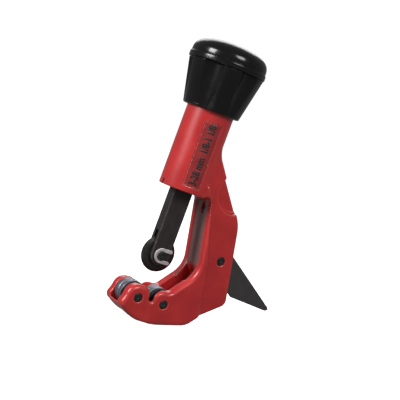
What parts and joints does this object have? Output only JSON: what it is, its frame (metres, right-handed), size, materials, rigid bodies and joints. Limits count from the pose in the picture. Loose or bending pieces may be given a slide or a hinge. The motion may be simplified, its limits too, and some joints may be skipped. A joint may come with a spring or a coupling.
{
  "type": "pipe cutter",
  "caption": "Telescopic pipe cutter: C-shaped frame with rollers, screw-fed slide with a cutting wheel, fluted knob and a folding reamer blade.",
  "frame": {"origin": "bottom centre of the bounding box with the reamer blade swung out as stored; the feed screw's axis is at x = -0.0278 m, y = 0", "axes": "+Z along the feed screw towards the knob, +X from the open throat to the spine and the reamer blade, +Y to the far side; the frame mirrors across y = 0"},
  "size_m": [0.0968, 0.0412, 0.1496],
  "materials": {
    "red_paint": "gloss stoved paint on a die casting",
    "black_gloss": "gloss moulding",
    "black_oxide": "black oxide, oiled",
    "black_nylon": "satin moulding",
    "bright_steel": "bright zinc",
    "roller_steel": "hardened and ground",
    "blade_steel": "dark phosphated"
  },
  "bodies": {
    "frame_body": {"frame": "red_paint", "guide_bush": "black_nylon", "thrust_washer": "bright_steel", "knob_washer": "black_nylon", "front_roller_pin": "black_oxide", "rear_roller_pin": "black_oxide", "reamer_pin": "black_oxide", "reamer_spring_washer": "bright_steel"},
    "knob_body": {"knob": "black_gloss", "knob_cap": "black_gloss", "feed_screw": "bright_steel", "drive_pin": "bright_steel", "retaining_ring": "bright_steel"},
    "slide_body": {"slide": "black_oxide", "wheel_axle": "black_oxide", "axle_clip": "bright_steel"},
    "wheel_body": {"cutting_wheel": "black_oxide"},
    "front_roller_body": {"front_roller": "roller_steel"},
    "rear_roller_body": {"rear_roller": "roller_steel"},
    "reamer_body": {"reamer_blade": "blade_steel"}
  },
  "joints": [
    {"name": "knob_turn", "type": "hinge", "parent": "frame_body", "child": "knob_body", "pos_m": [-0.0278, 0, 0.1154], "axis": [0, 0, 1], "range_deg": [-3730, 9220]},
    {"name": "slide_travel", "type": "slide", "parent": "frame_body", "child": "slide_body", "axis": [0, 0, 1], "range_m": [-0.0083, 0.0205]},
    {"name": "wheel_spin", "type": "hinge", "parent": "slide_body", "child": "wheel_body", "pos_m": [-0.0278, 0, 0.0351], "axis": [0, 1, 0], "continuous": true},
    {"name": "front_roller_spin", "type": "hinge", "parent": "frame_body", "child": "front_roller_body", "pos_m": [-0.0354, 0, 0.0119], "axis": [0, 1, 0], "continuous": true},
    {"name": "rear_roller_spin", "type": "hinge", "parent": "frame_body", "child": "rear_roller_body", "pos_m": [-0.0202, 0, 0.0119], "axis": [0, 1, 0], "continuous": true},
    {"name": "reamer_fold", "type": "hinge", "parent": "frame_body", "child": "reamer_body", "pos_m": [0.0048, 0, 0.0417], "axis": [0, -1, 0], "range_deg": [0, 134]}
  ],
  "couplings": [
    {"joint": "slide_travel", "follows": "knob_turn", "m_per_rad": 0.00012732}
  ]
}
